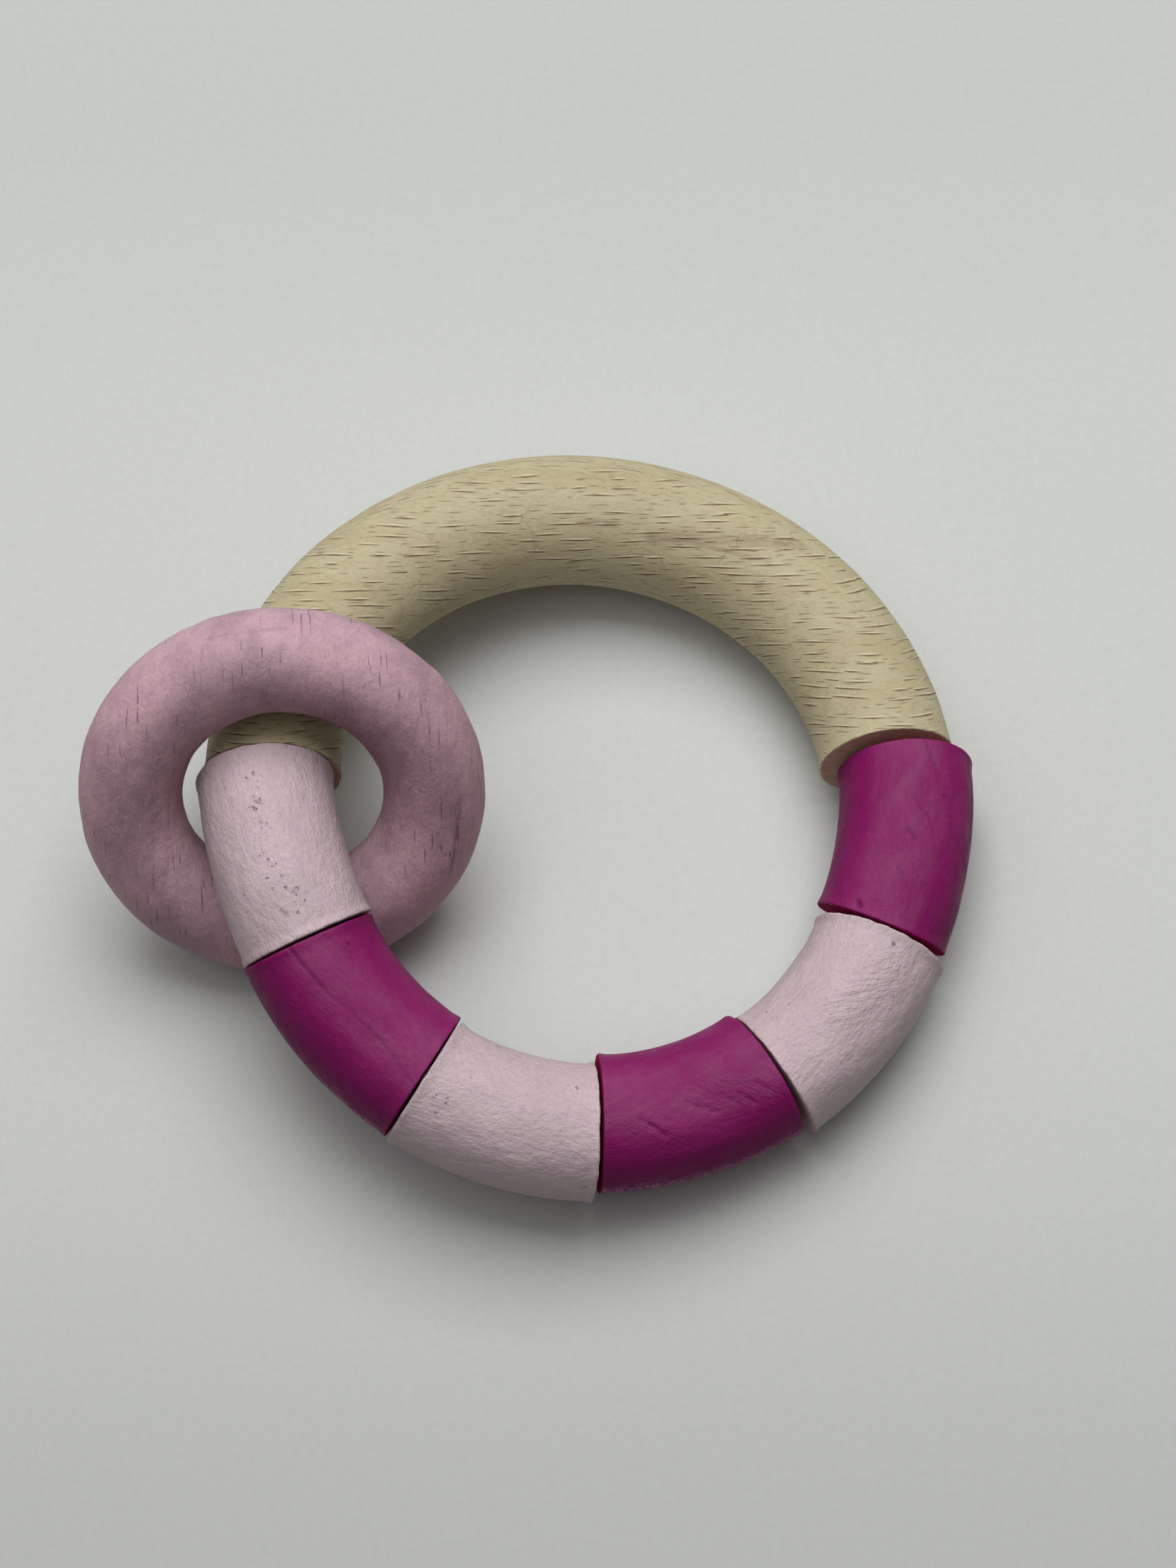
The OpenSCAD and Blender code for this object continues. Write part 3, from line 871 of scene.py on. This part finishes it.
class TEETHER_OT_coloured_pieces(bpy.types.Operator):
    """Makes one piece of the ring, drills it, and sets six worn and painted copies on the cord"""

    bl_idname = "teether.coloured_pieces"
    bl_label = "Coloured Pieces"

    def execute(self, context):
        ring = context.scene.teether_ring
        colours = context.scene.teether_finishes
        pattern = self.blank(ring)
        # Both paints get painted shade on the sides that don't face up; the magenta also gets a
        # painted sheen on its crown, and a brighter colour on its sawn ends as painted bounce light
        # in the gaps
        paints = {
            "pale": paint_finish(
                "pale_paint", colours.pale, bare=shade(150, 130, 122), end_paint_and_bounce=shade(190, 164, 168),
                chipped=0.6, sides=0.82, sheen_share=0.0, specular=0.32, smooth_at=0.34, rough_at=0.62,
                relief=0.2,
            ),
            "magenta": paint_finish(
                "magenta_paint", colours.magenta, bare=shade(206, 160, 184),
                end_paint_and_bounce=shade(150, 16, 72), chipped=0.0, sides=0.7, sheen_share=0.09, specular=0.05,
                smooth_at=0.3, rough_at=0.5, relief=0.15,
            ),
        }
        for number in range(6):
            kind = "magenta" if number % 2 else "pale"
            node = f"segment_{number + 1}_{kind}"
            piece = pattern.copy()
            piece.data = pattern.data.copy()
            piece.name = f"painted_piece_{number + 1}"
            context.scene.collection.objects.link(piece)
            rough = ROUGHNESS[kind]
            keep_wood(piece, PAINTED_AXES, 40 * (number + 1))
            if number == 1:
                self.saw_aslant(piece)
            wear(piece, 6, 0.18, (2, 1, 1), 10 + number, "side")
            wear(piece, 1.9, 0.14 * rough, (1.7, 1, 1), 20 + number, "side")
            wear(piece, 0.9, 0.06 * rough, (1.4, 1, 1), 30 + number, "side")
            wear(piece, 1.6, 0.08 * rough, (1, 1, 1), 40 + number, "rim")
            where = self.on_cord(number)
            set_down(piece, where)
            press_marks(piece)
            facing = read(piece, "normal")
            along = np.array(where.to_3x3().col[0])
            sawn = 1 - ease((0.85 - np.abs(facing @ along)) * 8)
            worn = ease(-facing[:, 1] * 2 - 0.6) * ease(1.6 - np.abs(facing[:, 2] + 0.2) * 3)
            keep(piece, "sawn", sawn)
            keep(piece, "worn", worn * (1 - sawn))
            keep_above(piece)
            smooth(piece)
            piece.data.materials.append(paints[kind])
            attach(piece, f"piece_{number + 1}")
            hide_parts(node)
        bpy.data.objects.remove(pattern)
        return {"FINISHED"}

    def blank(self, ring):
        """One piece, its hole along X and its bulge towards -Y."""
        half = ring.piece_bend / 2
        radius = ring.piece_length / ring.piece_bend
        piece = turned_rod("blank", ring.piece_length, ring.thickness / 2, 0, ring.edge, ring.cell)
        bend(piece, ring.piece_bend)
        set_down(piece, Matrix.Translation((0, -radius * (1 - math.cos(half)), 0)))
        bpy.ops.mesh.primitive_cylinder_add(
            vertices=BORE_SIDES, radius=ring.bore / 2, depth=ring.piece_length + 4 * MM,
            rotation=(0, math.pi / 2, 0),
        )
        drill = bpy.context.active_object
        hole = piece.modifiers.new("bore", "BOOLEAN")
        hole.object = drill
        hole.solver = "EXACT"
        apply_modifier(piece, hole)
        bpy.data.objects.remove(drill)
        mark_ends(piece, (0, radius * math.cos(half), 0), radius, ring.thickness,
                  -math.pi / 2 - half, -math.pi / 2 + half)
        return piece

    def saw_aslant(self, piece):
        """Leaves the underside of a piece's right end a little longer, so that no light shows
        through the gap beside it, which is wider below than above."""
        points = read(piece, "co") / MM
        near_end = ease((points[:, 0] - 6) / 4)
        below = ease(0.5 - points[:, 2] / 11)
        points[:, 0] += near_end * below * (0.38 - 0.014 * points[:, 1])
        put_points(piece, points * MM)

    def on_cord(self, number):
        """Where a piece lies: along the cord from one gap to the next, shifted and rolled."""
        start, end = Vector(GAPS[number]) * MM, Vector(GAPS[number + 1]) * MM
        run = (end - start).normalized()
        return (
            Matrix.Translation((start + end) / 2)
            @ Matrix.Rotation(math.atan2(run.y, run.x), 4, "Z")
            @ Matrix.Rotation(-math.asin(run.z), 4, "Y")
            @ Matrix.Translation((0, -OFF_OUT[number] * MM, OFF_UP[number] * MM))
            @ Matrix.Rotation(math.radians(ROLLS[number]), 4, "X")
            @ Matrix.Diagonal((STRETCHED[number], 1, 1, 1))
        )


class TEETHER_OT_small_ring(bpy.types.Operator):
    """Makes the small stained ring that is linked round the large one"""

    bl_idname = "teether.small_ring"
    bl_label = "Small Ring"

    def execute(self, context):
        ring = context.scene.teether_small
        bpy.ops.mesh.primitive_torus_add(
            major_radius=ring.radius, minor_radius=ring.thickness / 2,
            major_segments=round(2 * math.pi * ring.radius / ring.cell),
            minor_segments=round(math.pi * ring.thickness / ring.cell),
        )
        piece = context.active_object
        piece.name = "stained_ring"
        keep_wood(piece, RING_AXES, 300)
        wear(piece, 8, 0.34, (1, 2, 1), 51)
        wear(piece, 2.4, 0.24, (1, 2, 1), 52)
        lean(piece, ring)
        press_marks(piece)
        keep_above(piece)
        smooth(piece)
        piece.data.materials.append(stain_finish(context.scene.teether_finishes))
        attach(piece, "small_ring")
        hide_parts("small_ring")
        return {"FINISHED"}


class TEETHER_OT_cord_and_plugs(bpy.types.Operator):
    """Gives the elastic cord its woven cover and the two glued plugs their end grain"""

    bl_idname = "teether.cord_and_plugs"
    bl_label = "Cord and Plugs"

    def execute(self, context):
        colours = context.scene.teether_finishes
        grain = bpy.data.materials.get("end_grain") or end_grain_finish(colours)
        finishes = {
            "elastic_cord": elastic_finish(colours),
            "left_end_plug": grain,
            "right_end_plug": grain,
        }
        for name, finish in finishes.items():
            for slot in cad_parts[name].material_slots:
                slot.material = finish
        return {"FINISHED"}


class TEETHER_OT_stage(bpy.types.Operator):
    """Sets the pale table, the soft light from the far side and the camera"""

    bl_idname = "teether.stage"
    bl_label = "Table, Light and Camera"

    def execute(self, context):
        stage = context.scene.teether_stage
        bpy.ops.mesh.primitive_plane_add(
            size=TABLE_SIDE, location=(0, 0, min(cad_box[0].z, 0))
        )
        table = context.active_object
        table.name = "table"
        bpy.ops.object.transform_apply(location=True, rotation=True, scale=True)
        table.data.materials.append(table_finish(stage))

        key = bpy.data.lights.new("window", "AREA")
        key.size = stage.key_size
        place = Vector(stage.key_place)
        # A share of 1 lights the toy as much as a white room all round would
        key.energy = stage.key * math.pi**2 * place.length_squared
        lamp = bpy.data.objects.new("window", key)
        lamp.location = place
        lamp.rotation_euler = place.to_track_quat("Z", "Y").to_euler()
        context.scene.collection.objects.link(lamp)

        world = bpy.data.worlds.new("room")
        world.use_nodes = True
        context.scene.world = world
        w = Wiring(world.node_tree)
        back = world.node_tree.nodes["Background"]
        path = w.tree.nodes.new("ShaderNodeLightPath").outputs
        towards = w.tree.nodes.new("ShaderNodeTexCoord").outputs["Generated"]
        far = w.step(w.vector("DOT_PRODUCT", towards, FAR_SIDE), -0.3, 0.6)
        seen = w.math("MAXIMUM", path["Is Camera Ray"], w.times(path["Is Glossy Ray"], far))
        w.put(back.inputs["Color"], w.blend(seen, (1, 1, 1), stage.surround))
        height = w.vector("DOT_PRODUCT", towards, OVERHEAD)
        light = w.times(w.step(height, 0.55, 1.0), stage.sky)
        w.put(back.inputs["Strength"], w.math("MAXIMUM", light, seen))

        lens = bpy.data.cameras.new("camera")
        lens.sensor_width = SENSOR
        lens.lens = stage.lens
        camera = bpy.data.objects.new("camera", lens)
        right = Vector(CAMERA_RIGHT).normalized()
        backwards = right.cross(Vector(CAMERA_UP)).normalized()
        up = backwards.cross(right)
        facing = Matrix((right, up, backwards)).transposed().to_4x4()
        camera.matrix_world = Matrix.Translation(stage.camera_place) @ facing
        context.scene.collection.objects.link(camera)
        context.scene.camera = camera
        context.scene.view_settings.view_transform = "Standard"
        return {"FINISHED"}


class TEETHER_PT_panel(bpy.types.Panel):
    """Buttons and sizes of the teething ring"""

    bl_idname = "TEETHER_PT_panel"
    bl_label = "Teething Ring"
    bl_space_type = "VIEW_3D"
    bl_region_type = "UI"
    bl_category = "Teething Ring"

    def draw(self, context):
        scene = context.scene
        for heading, group, operator in (
            ("Large Ring", scene.teether_ring, "teether.beech_grip"),
            ("Small Ring", scene.teether_small, "teether.small_ring"),
            ("Finishes", scene.teether_finishes, "teether.cord_and_plugs"),
            ("Stage", scene.teether_stage, "teether.stage"),
        ):
            box = self.layout.box()
            box.label(text=heading)
            for name in group.__annotations__:
                box.prop(group, name)
            box.operator(operator)
        self.layout.operator("teether.coloured_pieces")


GROUPS = {
    "teether_ring": TEETHER_PG_large_ring,
    "teether_small": TEETHER_PG_small_ring,
    "teether_finishes": TEETHER_PG_finishes,
    "teether_stage": TEETHER_PG_stage,
}
CLASSES = (
    *GROUPS.values(),
    TEETHER_OT_beech_grip,
    TEETHER_OT_coloured_pieces,
    TEETHER_OT_small_ring,
    TEETHER_OT_cord_and_plugs,
    TEETHER_OT_stage,
    TEETHER_PT_panel,
)


def register():
    for item in CLASSES:
        bpy.utils.register_class(item)
    for name, group in GROUPS.items():
        setattr(bpy.types.Scene, name, bpy.props.PointerProperty(type=group))


def unregister():
    for name in GROUPS:
        delattr(bpy.types.Scene, name)
    for item in reversed(CLASSES):
        bpy.utils.unregister_class(item)


def main():
    register()
    bpy.ops.teether.stage()
    bpy.ops.teether.beech_grip()
    bpy.ops.teether.coloured_pieces()
    bpy.ops.teether.small_ring()
    bpy.ops.teether.cord_and_plugs()


if __name__ == "__main__":
    main()
